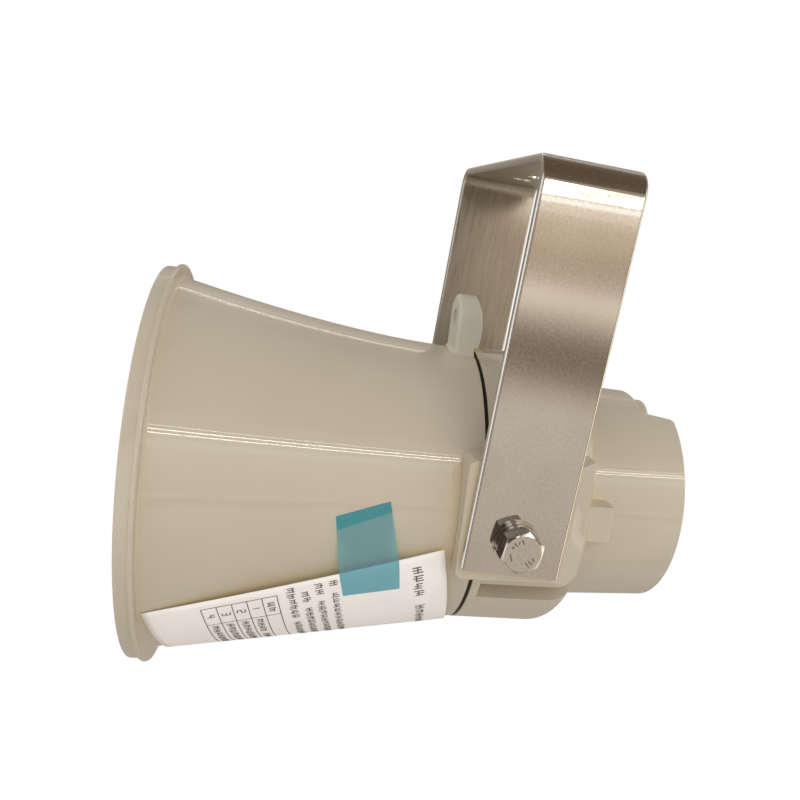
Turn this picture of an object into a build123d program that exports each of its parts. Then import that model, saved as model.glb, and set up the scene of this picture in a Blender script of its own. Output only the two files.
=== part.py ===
from build123d import *
import math
import os

# Small outdoor paging horn: a re-entrant plastic horn on a bent stainless bracket.
# Row frame: origin at the middle hole of the bracket's web, on its mounting face.
# +Z points out of that face, the bracket's arms hang down, and the mouth looks towards -X.
# The horn itself is modelled on its own axis, +X from mouth to rear, and then hung on its pivot.
# All sizes are in millimetres.

# Bracket
strip_w = 34.0            # width of the strip
strip_t = 3.0             # thickness of the strip
strip_edge_r = 1.2        # rounding of the strip's long edges
bend_r = 8.0              # outer radius of both bends
pivot_drop = 124.0        # mounting face to pivot axis
arm_tail = 11.6           # pivot axis to the end of an arm
arm_corner_r = 1.5        # corners at the end of an arm
web_hole_r = 4.5          # three mounting holes
web_hole_pitch = 24.0     # distance between them

# Stance of the horn on its pivot
droop_deg = 3.5           # how far the mouth looks down at rest
pivot_back = 10.5         # bell's rear face to the pivot axis
pivot_z = 0.5             # pivot axis above the horn's own axis

# Bell
mouth_r = 75.0            # rim flange, the widest part
band_step = 1.1           # the rim band is this much smaller than the flange
band_len = 4.6            # rim band in front of the flange
flange_t = 1.6            # rim flange
flare_step = 4.7          # flange radius less the flare's radius behind it
flare_power = 1.5         # how the flare closes on the collar
collar_len = 10.0
bell_len = 117.0          # mouth plane to the bell's rear face
bell_wall = 2.2
rear_wall_t = 4.0         # wall that closes the bell's rear
corner_r = 8.0            # rounding where the sound path turns forward again
rim_edge_r = 0.6
rim_root_r = 1.2          # fillet between the flange and the flare

# Safety wire lug on the collar
lug_front_in = 7.3        # bell's rear face to the front of the lug
lug_half_w = 9.0
lug_h = 21.1              # collar to the top of the lug
lug_top_t = 7.1
lug_belly_t = 9.4         # its rear face swells over the joint
lug_foot_t = 8.6
lug_belly_h = 11.0        # height of the swell above the collar
lug_over = 1.9            # gap under the swell
lug_front_edge_r = 1.5
lug_rear_edge_r = 0.8
lug_foot_r = 1.6
eye_r = 3.3

# Seal between bell and rear housing
seal_t = 1.5
seal_w = 7.8
seal_inset = 0.6

# Rear housing
house_wall = 2.6
shoulder_len = 43.0       # bell's rear face to the shoulder's rear
shoulder_round = 12.0
can_step = 10.9           # can's radius less than the shoulder's
can_taper = 1.3           # and less again at its rear rim
can_len = 36.5            # shoulder's rear to the can's rear rim
recess_depth = 12.1       # rear wall lies this far inside the rim
house_rear_t = 3.5        # rear wall
skirt_wall = 2.2
front_flange_t = 3.0
notch_depth = 12.7        # cable notch in the rim, measured from the can's crown
notch_half_w = 17.7
notch_flare = 2.0
notch_corner_r = 1.8      # rounded corners where the notch meets the rim

# Ears that the bracket bolts to
ear_over = 7.0            # pad above the shoulder
ear_lap = 8.0             # how far the ear overlaps the bell's collar
ear_back = 38.0           # bell's rear face to the ear's rear
ear_low = -15.0
ear_high = 27.0
ear_corner_r = 2.5
ear_edge_r = 0.5
ear_gap = 0.9             # between the overlapping ear and the collar
ear_pad_len = 38.0        # flat part that the arm lies on
ear_lip_in = 1.4          # ear's sloping end stops this far below the shoulder
arm_clear = 0.1           # between ear and arm
boss_half_w = 10.0
boss_depth = 18.0         # pad face to the inner end of the nut boss
rib_back = 6.0            # blocks on the can reach this far behind the shoulder
rib_low = -3.0
rib_high = 10.0
rib_in = 4.4              # and lie this far inside the shoulder's radius

# Screws that hold the housing to the bell, in channels open to the rear
channel_w = 8.0
channel_depth = 9.5
channel_wall = 2.2
house_screw_in = 5.3      # screw axis below the shoulder's surface
low_screw_deg = 28.0      # the two lower screws, below the horizontal
house_thread = 5.0        # length of thread in the bell

# Pivot hardware
bolt_r = 4.0
bolt_len = 22.0
bolt_head_af = 13.0
bolt_head_h = 5.3
nut_h = 6.5
nut_seat = 9.5            # pad face to the nut
spring_washer_t = 1.8
spring_washer_r = 7.3
spring_split = 1.0
plain_washer_t = 1.2
plain_washer_r = 8.0
run_clear = 0.08          # bolt in the bracket's hole
washer_clear = 0.05       # between washer and arm
loose_clear = 0.2

# Tone tube and reflector
throat_r = 7.5
tube_front = 28.0         # mouth plane to the tube's open end
tube_front_r = 20.0       # inner radius there
tube_wall = 1.8
tube_flange_r = 22.0
tube_flange_t = 3.0
tube_spigot_r = 10.5
hub_r = 5.5
hub_len = 12.0
hub_back = 2.0            # hub behind the tube's open end
vane_t = 1.6
vanes = 3
reflector_nose = 11.0     # mouth plane to the reflector's nose
reflector_knee = 30.0     # where the nose meets the side
post_foot_len = 4.0       # the post in the cup widens over this length,
post_foot_step = 0.7      # by this much at its start
reflector_knee_r = 31.2
reflector_turn = 15.0     # its rear edge to the wall where the sound turns
reflector_side_gap = 15.7    # its rear edge to the bell's inside
reflector_wall = 2.0
reflector_foot_r = 8.0
counterbore_r = 4.5
counterbore_depth = 2.5

# Driver, built outwards from the dome
plate_t = 8.0
throat_len = 2.9          # straight throat in the plate
chamber_gap = 0.8         # air in front of the diaphragm
dome_r = 12.7
dome_h = 4.2
film_t = 0.3              # diaphragm and surround
dome_lip = 1.1
surround_gap = 0.4
surround_flat = 0.4
surround_roll = 1.4       # height of the half roll
surround_roll_w = 3.9
surround_clamp = 5.5
spacer_t = 2.1
screw_land = 4.0          # clamped rim to the screws through the spacer
motor_land = 4.5          # those screws to the motor's edge
bolt_land = 5.0           # motor's edge to the driver's screws
plate_land = 4.5          # those screws to the plate's edge
plate_gap = 3.5           # plate's edge to the seal
top_plate_t = 4.0
magnet_t = 12.0
magnet_gap = 4.3          # coil to magnet
back_plate_t = 4.0
back_plate_step = 1.5
pole_gap = 0.5            # coil to pole
former_t = 0.2
coil_t = 0.4
coil_len = 5.0
former_len = 7.6
coil_gap = 0.3            # between coil and top plate
plug_r = 6.5
plug_len = 7.5

# Small screws
m3_r = 1.5
m4_r = 2.0
screw_fit = 0.05
m3_head_r = 2.75
m3_head_h = 1.7
m4_head_r = 3.3
m4_head_h = 2.2
horn_screw_circle = 17.5

# Line transformer, terminals and cable gland on the rear wall
core_t = 14.0
core_w = 36.0
core_h = 30.0
core_leg = 9.0
core_yoke = 6.0
core_mid_z = -7.0
core_stand_off = 5.5
winding_over = 5.0
winding_fit = 0.2
strap_t = 1.0
strap_foot = 8.0
block_w = 20.0
block_h = 10.0
block_t = 12.0
block_y = -20.0
block_z = 15.0
gland_rise = 1.0          # gland's axis above the notch's floor
gland_r = 5.4
gland_cap_r = 9.4
gland_cap_len = 8.0
gland_cap_round = 2.0
cable_r = 2.6
gland_nut_af = 14.0
gland_nut_t = 4.0

# Paper slip on the bell: stations are measured back from the mouth or forward from the rear face
slip_t = 0.2
slip_front = 7.4          # where the rolled sheet's front is measured
slip_front_lift = 0.25    # it stands this far off the flare there
slip_rear_in = 6.5        # where its rear is measured
slip_rear_lift = 1.6
slip_near_front = 7.4     # corners on the near side, and their angle below the horizontal
slip_near_front_deg = 27.1
slip_near_rear_in = 12.5
slip_near_rear_deg = 7.0
slip_far_front = 13.7     # corners on the far side
slip_far_front_deg = 31.0
slip_far_rear_in = 3.5
slip_far_rear_deg = 20.2
slip_mid_front = 15.6     # edges under the bell
slip_mid_rear_in = 1.0
slip_spare = 5.0          # blank for the sheet, beyond its front and rear

# Tape over the slip's near edge
tape_t = 0.15
tape_top_front_in = 50.5  # its four corners: in from the bell's rear face, and degrees above level
tape_top_front_deg = 3.6
tape_top_rear_in = 31.3
tape_top_rear_deg = 9.3
tape_low_rear_in = 25.1
tape_low_rear_deg = -23.2
tape_low_front_in = 44.3
tape_low_front_deg = -25.1
tape_fold_deg = -1.3      # where the tape leaves the flare, at its front corner
tape_fold_turn = 0.385    # and how that rises towards the rear, in degrees for each mm
tape_margin_deg = 1.2     # tape is up on the slip this far before the slip's edge
tape_spare = 5.0          # blank for the tape, beyond its corners

# Radii worked out from the dome outwards
surround_r = dome_r + dome_lip + surround_gap
roll_r = surround_r + surround_flat + surround_roll_w
clamp_r = roll_r + surround_clamp
plate_screw_circle = clamp_r + screw_land
motor_r = plate_screw_circle + motor_land
driver_screw_circle = motor_r + bolt_land
plate_r = driver_screw_circle + plate_land
seal_inner_r = plate_r + plate_gap
collar_r = seal_inner_r + seal_w + seal_inset
can_front_r = collar_r - can_step
can_rear_r = can_front_r - can_taper
coil_r = dome_r + coil_t
reflector_rear_r = collar_r - bell_wall - reflector_side_gap

# Places worked out along the horn
band_r = mouth_r - band_step
flange_rear = band_len + flange_t
flare_root_r = mouth_r - flare_step
collar_front = bell_len - collar_len
seal_rear = bell_len + seal_t
pivot_x = bell_len + pivot_back
shoulder_end = bell_len + shoulder_len
house_len = shoulder_end + can_len
rear_face = house_len - recess_depth
rear_inner = rear_face - house_rear_t
plate_rear = bell_len + plate_t
spacer_front = plate_rear + film_t
tape_corners = ((bell_len - tape_top_front_in, tape_top_front_deg),
                (bell_len - tape_top_rear_in, tape_top_rear_deg),
                (bell_len - tape_low_rear_in, tape_low_rear_deg),
                (bell_len - tape_low_front_in, tape_low_front_deg))
top_plate_x = spacer_front + spacer_t
magnet_x = top_plate_x + top_plate_t
back_plate_x = magnet_x + magnet_t
back_plate_rear = back_plate_x + back_plate_t
house_screw_r = collar_r - house_screw_in
channel_front = seal_rear + front_flange_t
reflector_rear = bell_len - rear_wall_t - reflector_turn
notch_floor = can_rear_r - notch_depth
gland_z = notch_floor + gland_rise
house_screw_degs = (90.0, 180.0 + low_screw_deg, -low_screw_deg)

# Places worked out across the horn
pad_y = collar_r + ear_over
arm_in = pad_y + arm_clear
arm_out = arm_in + strip_t
washer_y = arm_out + washer_clear


def turned(*edges):
    """A solid of revolution about the horn's axis, from edges that close an outline in x and radius."""
    return revolve(make_face(list(edges)), Axis.X)


def ring(x0, x1, r_in, r_out):
    """A plain ring about the horn's axis, or a disc if its inner radius is 0."""
    outline = Polyline((x0, r_in), (x1, r_in), (x1, r_out), (x0, r_out), (x0, r_in))
    return revolve(make_face(outline), Axis.X)


def rod_x(x0, x1, radius, y=0.0, z=0.0):
    """A round bar along the horn's axis."""
    return Pos((x0 + x1) / 2, y, z) * Rot(0, 90, 0) * Cylinder(radius, x1 - x0)


def block(x0, x1, y0, y1, z0, z1):
    return Pos((x0 + x1) / 2, (y0 + y1) / 2, (z0 + z1) / 2) * Box(x1 - x0, y1 - y0, z1 - z0)


def around(radius, degrees):
    """Depth and height of a point on a circle about the axis, 90 degrees being the top."""
    a = math.radians(degrees)
    return radius * math.cos(a), radius * math.sin(a)


def both_sides(piece):
    """A piece on the near side and its mirror image on the far side."""
    return piece + mirror(piece, about=Plane.XZ)


def cap_drop(radius, rim_r, rise):
    """How far a round cap has dropped from its crown at a radius, when it rises so far over its rim."""
    ball_r = (rim_r ** 2 + rise ** 2) / (2 * rise)
    return ball_r - math.sqrt(ball_r ** 2 - radius ** 2)


def pan_screw(shaft_r, shaft_len, head_r, head_h):
    """A pan head screw along Z, its bearing face at 0 and its head above."""
    side_h = head_h * 0.4
    middle = (head_r / 2, head_h - cap_drop(head_r / 2, head_r, head_h - side_h))
    head = revolve(make_face([
        Line((0, 0), (head_r, 0)), Line((head_r, 0), (head_r, side_h)),
        ThreePointArc((head_r, side_h), middle, (0, head_h)), Line((0, head_h), (0, 0))]), Axis.Y)
    head = Rot(90, 0, 0) * head
    slot = Pos(0, 0, head_h) * Box(head_r * 1.1, head_r * 0.24, head_h)
    shaft = Pos(0, 0, -shaft_len / 2) * Cylinder(shaft_r, shaft_len)
    return head - slot - Rot(0, 0, 90) * slot + shaft


def screw_x(screw, x, y=0.0, z=0.0, head_to_rear=True):
    """Lays a screw along the horn's axis with its bearing face at x."""
    return Pos(x, y, z) * Rot(0, 90 if head_to_rear else -90, 0) * screw


def hex_prism(across_flats, height):
    return extrude(RegularPolygon(across_flats / 2, 6, major_radius=False), height)


def hang(piece):
    """Moves a piece from the horn's own axes to the row frame, on its pivot and at its rest tilt."""
    return Pos(0, 0, -pivot_drop) * Rot(0, -droop_deg, 0) * Pos(-pivot_x, 0, -pivot_z) * piece


def flare_r(x):
    """Outer radius of the flare between the rim flange and the collar."""
    if x >= collar_front:
        return collar_r
    share = (collar_front - x) / (collar_front - flange_rear)
    return collar_r + (flare_root_r - collar_r) * share ** flare_power


def flare_line(x_from, x_to, inset, steps=7):
    """The flare as a smooth line, inset by a wall."""
    xs = [x_from + (x_to - x_from) * i / (steps - 1) for i in range(steps)]
    return Spline(*[(x, flare_r(x) - inset) for x in xs])


# Bracket: one strip, bent twice, with round long edges
def make_bracket():
    mid = arm_in + strip_t / 2
    low = -(pivot_drop + arm_tail)
    route = FilletPolyline((0, -mid, low), (0, -mid, -strip_t / 2), (0, mid, -strip_t / 2),
                           (0, mid, low), radius=bend_r - strip_t / 2)
    section = Plane(origin=(0, -mid, low), x_dir=(1, 0, 0), z_dir=(0, 0, 1)) \
        * RectangleRounded(strip_w, strip_t, strip_edge_r)
    strip = sweep(section, path=route)
    outline = extrude(Plane.XZ * Pos(0, low / 2)
                      * RectangleRounded(strip_w + 1, -low, arm_corner_r), arm_out + 1, both=True)
    corners = extrude(Plane.XZ * Pos(0, low + strip_w / 2)
                      * RectangleRounded(strip_w, strip_w, arm_corner_r), arm_out + 1, both=True)
    ends = block(-strip_w, strip_w, -arm_out - 1, arm_out + 1, low - 1, low + strip_w / 2)
    strip = strip - (ends - corners)
    for i in (-1, 0, 1):
        strip -= Pos(0, i * web_hole_pitch, -strip_t / 2) * Cylinder(web_hole_r, 2 * strip_t)
    strip -= Pos(0, 0, -pivot_drop) * Rot(90, 0, 0) * Cylinder(bolt_r + run_clear, 2 * arm_out + 2)
    return strip


def circles(piece, x, radius):
    """The circular edges of a turned piece at a station and radius."""
    return piece.edges().filter_by(GeomType.CIRCLE).filter_by(
        lambda e: abs(e.radius - radius) < 0.01 and abs(e.arc_center.X - x) < 0.01)


# Bell: rim band, rim flange, flare, collar and rear wall in one moulding
def make_bell():
    wall_front = bell_len - rear_wall_t
    corner_x = wall_front - corner_r
    inner_r = flare_r(corner_x) - bell_wall
    c = math.sqrt(0.5) * corner_r
    mouth_in = band_r - bell_wall
    bell = turned(
        Line((0, mouth_in), (0, band_r)), Line((0, band_r), (band_len, band_r)),
        Line((band_len, band_r), (band_len, mouth_r)), Line((band_len, mouth_r), (flange_rear, mouth_r)),
        Line((flange_rear, mouth_r), (flange_rear, flare_root_r)),
        flare_line(flange_rear, collar_front, 0.0), Line((collar_front, collar_r), (bell_len, collar_r)),
        Line((bell_len, collar_r), (bell_len, tube_spigot_r + screw_fit)),
        Line((bell_len, tube_spigot_r + screw_fit), (wall_front, tube_spigot_r + screw_fit)),
        Line((wall_front, tube_spigot_r + screw_fit), (wall_front, inner_r - corner_r)),
        ThreePointArc((wall_front, inner_r - corner_r),
                      (corner_x + c, inner_r - corner_r + c), (corner_x, inner_r)),
        flare_line(corner_x, flange_rear, bell_wall),
        Line((flange_rear, flare_root_r - bell_wall), (0, mouth_in)))
    bell = fillet(circles(bell, flange_rear, flare_root_r), rim_root_r)
    bell = fillet(circles(bell, flange_rear, mouth_r) + circles(bell, band_len, mouth_r)
                  + circles(bell, 0, band_r), rim_edge_r)
    for deg in house_screw_degs:
        y, z = around(house_screw_r, deg)
        bell -= rod_x(bell_len - house_thread - 0.2, bell_len + 1, m4_r + screw_fit, y, z)
    for deg in (45, 135, 225, 315):
        y, z = around(driver_screw_circle, deg)
        bell -= rod_x(wall_front + 0.4, bell_len + 1, m4_r + screw_fit, y, z)
    for deg in (30, 150, 270):
        y, z = around(horn_screw_circle, deg)
        bell -= rod_x(wall_front - 1, bell_len + 1, m3_r + screw_fit, y, z)
        bell -= rod_x(bell_len - m3_head_h - 0.1, bell_len + 1, m3_head_r + screw_fit, y, z)
    return bell


# Lug for the safety wire, seated on the collar: a round-topped plate with a swollen rear face
def make_lug():
    front = bell_len - lug_front_in
    top = collar_r + lug_h
    eye_z = top - lug_half_w
    root = collar_r / 2
    rear_top, rear_foot = (front + lug_top_t, top), (front + lug_foot_t, collar_r)
    belly = (front + lug_belly_t, collar_r + lug_belly_h)
    side = extrude(Plane.XZ * make_face([
        Line((front, root), (front, top)), Line((front, top), rear_top),
        ThreePointArc(rear_top, belly, rear_foot), Line(rear_foot, (rear_foot[0], root)),
        Line((rear_foot[0], root), (front, root))]), lug_half_w, both=True)
    face = block(front - 1, front + 2 * lug_belly_t, -lug_half_w, lug_half_w, 0, eye_z) \
        + rod_x(front - 1, front + 2 * lug_belly_t, lug_half_w, 0, eye_z)
    lug = side & face
    lug = fillet(lug.edges().filter_by(
        lambda e: abs(e.center().X - front) < 0.01 and e.center().Z > root + 1), lug_front_edge_r)
    lug = fillet(lug.edges().filter_by(
        lambda e: e.center().X > front + lug_top_t / 2 and e.center().Z > collar_r), lug_rear_edge_r)
    rear = front + 2 * lug_belly_t
    lug -= block(bell_len, rear, -lug_half_w - 1, lug_half_w + 1, 0, collar_r + lug_over)
    collar = ring(collar_front, bell_len, 0, collar_r)
    footed = collar + lug
    seam = footed.edges().filter_by(
        lambda e: abs(math.hypot(e.center().Y, e.center().Z) - collar_r) < 0.4
        and e.center().Z > collar_r / 2 and front - 0.1 < e.center().X < bell_len - 0.1)
    footed = fillet(seam, lug_foot_r)
    return footed - collar - rod_x(front - 1, front + 2 * lug_belly_t, eye_r, 0, eye_z)


# Flat seal that the housing squeezes against the bell
def make_seal_ring():
    seal = ring(bell_len, seal_rear, seal_inner_r, collar_r - seal_inset)
    for deg in house_screw_degs:
        y, z = around(house_screw_r, deg)
        seal -= rod_x(bell_len - 1, seal_rear + 1, m4_r + loose_clear, y, z)
    return seal


# Outside of the housing, or its cavity when a wall is given
def housing_outline(wall):
    mid_x = shoulder_end - shoulder_round
    mid_r = collar_r - shoulder_round
    bend = shoulder_round - wall
    foot_r = can_front_r - wall
    foot_x = mid_x + math.sqrt(bend ** 2 - (foot_r - mid_r) ** 2)
    on_arc = (mid_x + bend * math.sqrt(0.5), mid_r + bend * math.sqrt(0.5))
    start = seal_rear if wall == 0 else channel_front
    end, end_r = (house_len, can_rear_r) if wall == 0 else (rear_inner, can_rear_r - wall)
    return turned(
        Line((start, 0), (start, collar_r - wall)),
        Line((start, collar_r - wall), (mid_x, collar_r - wall)),
        ThreePointArc((mid_x, collar_r - wall), on_arc, (foot_x, foot_r)),
        Line((foot_x, foot_r), (end, end_r)), Line((end, end_r), (end, 0)), Line((end, 0), (start, 0)))


# One ear, near side: a pad that overlaps the collar and slopes down to the shoulder's rear
def make_ear():
    ear_front, ear_rear = bell_len - ear_lap, bell_len + ear_back
    deep = pad_y - boss_depth
    pad_end = ear_front + ear_pad_len
    lip = collar_r - ear_lip_in
    plan = extrude(Pos(0, 0, ear_low) * make_face(Polyline(
        (ear_front, -pad_y), (pad_end, -pad_y), (ear_rear, -lip), (ear_rear, -deep),
        (ear_front, -deep), (ear_front, -pad_y))), ear_high - ear_low)
    long = ear_rear - ear_front + 4 * ear_corner_r
    mid = ear_front + long / 2
    side = extrude(Plane.XZ * Pos(mid, (ear_low + ear_high) / 2)
                   * RectangleRounded(long, ear_high - ear_low, ear_corner_r), 2 * pad_y)
    ear = plan & side
    pad_edges = ear.edges().filter_by(
        lambda e: abs(e.center().Y + pad_y) < 0.01 and e.center().X < pad_end - 0.1)
    slope_edges = ear.edges().filter_by(
        lambda e: e.center().X > pad_end + 0.1 and -pad_y < e.center().Y < -lip)
    ear = fillet(pad_edges + slope_edges, ear_edge_r)
    return ear - ring(ear_front - 1, seal_rear, 0, collar_r + ear_gap)


# Rear housing: shoulder, can, ears, ribs, screw channels, recessed rear wall and cable notch
def make_rear_housing():
    outside = housing_outline(0)
    rib = block(shoulder_end - shoulder_round, shoulder_end + rib_back, -(collar_r - rib_in),
                -can_rear_r + house_wall, rib_low, rib_high)
    rib_edges = rib.edges().filter_by(
        lambda e: e.center().Y < -can_rear_r + house_wall - 1 and e.center().X > shoulder_end)
    rib = fillet(rib_edges, ear_edge_r)
    shell = outside + both_sides(make_ear()) + both_sides(rib)
    shell -= housing_outline(house_wall)
    shell -= ring(seal_rear - 1, channel_front + 1, 0, seal_inner_r)
    shell -= ring(rear_face, house_len + 1, 0, can_rear_r - skirt_wall)
    nut_boss = block(seal_rear, pivot_x + boss_half_w, -pad_y + 2, -(pad_y - boss_depth),
                     pivot_z - boss_half_w, pivot_z + boss_half_w)
    shell += both_sides(nut_boss)
    floor_r = collar_r - channel_depth
    for deg in house_screw_degs:
        turn = Rot(deg, 0, 0)
        lining = turn * block(seal_rear, shoulder_end, floor_r - channel_wall, collar_r,
                              -channel_w / 2 - channel_wall, channel_w / 2 + channel_wall)
        shell += lining & outside
        shell -= turn * block(channel_front, shoulder_end + shoulder_round, floor_r, mouth_r,
                              -channel_w / 2, channel_w / 2)
        y, z = around(house_screw_r, deg)
        shell -= rod_x(seal_rear - 1, channel_front + 1, m4_r + loose_clear, y, z)
    bolt_bore = Pos(pivot_x, -pad_y, pivot_z) * Rot(90, 0, 0) * Cylinder(bolt_r + loose_clear, 3 * boss_depth)
    nut_seat_y = -(pad_y - nut_seat)
    nut_pocket = Pos(pivot_x, nut_seat_y, pivot_z) * Rot(-90, 0, 0) \
        * hex_prism(bolt_head_af + 2 * screw_fit, boss_depth)
    shell -= both_sides(bolt_bore) + both_sides(nut_pocket)
    rim_half_w = notch_half_w + notch_flare
    notch = extrude(Pos(0, 0, notch_floor) * make_face(Polyline(
        (rear_face, -notch_half_w), (house_len, -rim_half_w), (house_len + 1, -rim_half_w),
        (house_len + 1, rim_half_w), (house_len, rim_half_w), (rear_face, notch_half_w),
        (rear_face, -notch_half_w))), can_front_r)
    shell -= notch
    notch_corners = shell.edges().filter_by(Axis.Z).filter_by(
        lambda e: abs(e.center().X - house_len) < 0.01 and abs(abs(e.center().Y) - rim_half_w) < 0.01)
    shell = fillet(notch_corners, notch_corner_r)
    shell -= rod_x(rear_inner - 1, rear_face + 1, gland_r + screw_fit, 0, gland_z)
    for side in (-1, 1):
        shell -= rod_x(rear_inner - 1, rear_face - 0.6, m3_r + screw_fit, side * strap_screw_y(), core_mid_z)
    return shell


def strap_screw_y():
    return core_w / 2 + strap_t + strap_foot / 2


# Tone tube: spigot and flange on the rear wall, and a hub on vanes in its open end
def make_inner_horn():
    wall_front = bell_len - rear_wall_t
    growth = math.log(tube_front_r / throat_r) / (bell_len - tube_front)
    stations = [bell_len + (tube_front - bell_len) * i / 5 for i in range(6)]
    inner = [(x, throat_r * math.exp(growth * (bell_len - x))) for x in stations]
    flange_front = wall_front - tube_flange_t
    outer = [(x, r + tube_wall) for x, r in inner if x < flange_front - 1]
    foot = (flange_front, throat_r * math.exp(growth * (bell_len - flange_front)) + tube_wall)
    tube = turned(
        Spline(*inner), Line(inner[-1], outer[-1]), Spline(*(outer[::-1] + [foot])),
        Line(foot, (flange_front, tube_flange_r)),
        Line((flange_front, tube_flange_r), (wall_front, tube_flange_r)),
        Line((wall_front, tube_flange_r), (wall_front, tube_spigot_r)),
        Line((wall_front, tube_spigot_r), (bell_len, tube_spigot_r)),
        Line((bell_len, tube_spigot_r), (bell_len, throat_r)))
    hub_x = tube_front + hub_back
    hub = rod_x(hub_x, hub_x + hub_len, hub_r)
    reach = tube_front_r * 0.86 + tube_wall / 2
    for i in range(vanes):
        vane = block(hub_x, hub_x + hub_len, 0, reach, -vane_t / 2, vane_t / 2)
        hub += Rot(90 + i * 360 / vanes, 0, 0) * vane
    horn = tube + hub - rod_x(hub_x - 1, hub_x + hub_len + 1, m4_r + screw_fit)
    for deg in (30, 150, 270):
        y, z = around(horn_screw_circle, deg)
        horn -= rod_x(flange_front + 0.4, wall_front + 1, m3_r + screw_fit, y, z)
    return horn


# Reflector: a cup that faces the rear, with a post that its screw goes through
def make_reflector():
    def nose(a, b, low_r):
        top = math.degrees(math.asin(min(1.0, low_r / b)))
        angles = [90 - (90 - top) * i / 5 for i in range(6)]
        return [(reflector_knee - a * math.cos(math.radians(t)), b * math.sin(math.radians(t)))
                for t in angles]
    wall = reflector_wall
    out = nose(reflector_knee - reflector_nose, reflector_knee_r, 0.0)
    inn = nose(reflector_knee - reflector_nose - wall, reflector_knee_r - wall, reflector_foot_r)
    post_x = tube_front + hub_back
    post_foot = (inn[-1][0] + post_foot_len, hub_r + post_foot_step)
    cup = turned(
        Line((post_x, 0), (post_x, hub_r)), Spline((post_x, hub_r), post_foot, inn[-1]),
        Spline(*inn[::-1]), Line(inn[0], (reflector_rear, reflector_rear_r - wall)),
        Line((reflector_rear, reflector_rear_r - wall), (reflector_rear, reflector_rear_r)),
        Line((reflector_rear, reflector_rear_r), out[0]), Spline(*out), Line(out[-1], (post_x, 0)))
    cup -= rod_x(reflector_nose - 1, post_x + 1, m4_r + screw_fit)
    return cup - rod_x(reflector_nose - 1, reflector_nose + counterbore_depth, counterbore_r)


def make_reflector_screw():
    length = tube_front + hub_back + hub_len - (reflector_nose + counterbore_depth) - 1
    return screw_x(pan_screw(m4_r, length, m4_head_r, m4_head_h), reflector_nose + counterbore_depth,
                   head_to_rear=False)


# Driver: throat plate, phase plug, diaphragm with its coil, and the magnet circuit
def dome_centre():
    radius = (dome_r ** 2 + dome_h ** 2) / (2 * dome_h)
    return plate_rear - dome_h + radius, radius


def on_dome(radius_from_axis, gap):
    """Station of the sphere that lies a gap in front of the dome, at a radius from the axis."""
    cx, radius = dome_centre()
    return cx - math.sqrt((radius + gap) ** 2 - radius_from_axis ** 2)


def throat_mouth():
    """Throat radius where the throat opens on the dome."""
    return throat_r + 0.7


def make_throat_air():
    """The air in the plate in front of the dome, cut out of the plate and used to trim the plug's vanes."""
    throat_end = (on_dome(throat_mouth(), chamber_gap), throat_mouth())
    flat_x = plate_rear - chamber_gap
    cx, radius = dome_centre()
    flat_r = math.sqrt((radius + chamber_gap) ** 2 - (cx - flat_x) ** 2)
    mid_r = (throat_mouth() + flat_r) / 2
    return turned(
        Line((bell_len, 0), (bell_len, throat_r)), Line((bell_len, throat_r), throat_end),
        ThreePointArc(throat_end, (on_dome(mid_r, chamber_gap), mid_r), (flat_x, flat_r)),
        Line((flat_x, flat_r), (flat_x, roll_r)), Line((flat_x, roll_r), (plate_rear, roll_r)),
        Line((plate_rear, roll_r), (plate_rear, 0)), Line((plate_rear, 0), (bell_len, 0)))


def make_driver_plate():
    plate = ring(bell_len, plate_rear, 0, plate_r) - make_throat_air()
    for deg in (45, 135, 225, 315):
        y, z = around(driver_screw_circle, deg)
        plate -= rod_x(bell_len - 1, plate_rear + 1, m4_r + loose_clear, y, z)
    for deg in (90, 210, 330):
        y, z = around(plate_screw_circle, deg)
        plate -= rod_x(bell_len - 1, plate_rear + 1, m3_r + screw_fit, y, z)
        plate -= rod_x(bell_len - 1, bell_len + m3_head_h + 0.2, m3_head_r + loose_clear, y, z)
    return plate


def make_phase_plug():
    rear = on_dome(plug_r, chamber_gap)
    crown = on_dome(0, chamber_gap)
    middle = (on_dome(plug_r / 2, chamber_gap), plug_r / 2)
    plug = turned(
        Line((crown, 0), (crown - plug_len, 0)), Line((crown - plug_len, 0), (rear, plug_r)),
        ThreePointArc((rear, plug_r), middle, (crown, 0)))
    vanes_solid = Rot(30, 0, 0) * block(bell_len, crown - 0.4, 0, 2 * throat_r, -vane_t / 3, vane_t / 3)
    for i in (1, 2):
        vanes_solid += Rot(30 + i * 120, 0, 0) * block(bell_len, crown - 0.4, 0, 2 * throat_r,
                                                       -vane_t / 3, vane_t / 3)
    return plug + (vanes_solid & make_throat_air())


def make_diaphragm():
    mid = (on_dome(dome_r / 2, 0), dome_r / 2)
    rear_r = dome_r - film_t
    rear_crown = plate_rear - dome_h + film_t
    rear_mid = (rear_crown + cap_drop(rear_r / 2, rear_r, dome_h), rear_r / 2)
    lip_r = dome_r + dome_lip
    return turned(
        ThreePointArc((plate_rear - dome_h, 0), mid, (plate_rear, dome_r)),
        Line((plate_rear, dome_r), (plate_rear, lip_r)),
        Line((plate_rear, lip_r), (plate_rear + film_t, lip_r)),
        Line((plate_rear + film_t, lip_r), (plate_rear + film_t, rear_r)),
        ThreePointArc((plate_rear + film_t, rear_r), rear_mid, (rear_crown, 0)),
        Line((rear_crown, 0), (plate_rear - dome_h, 0)))


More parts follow.
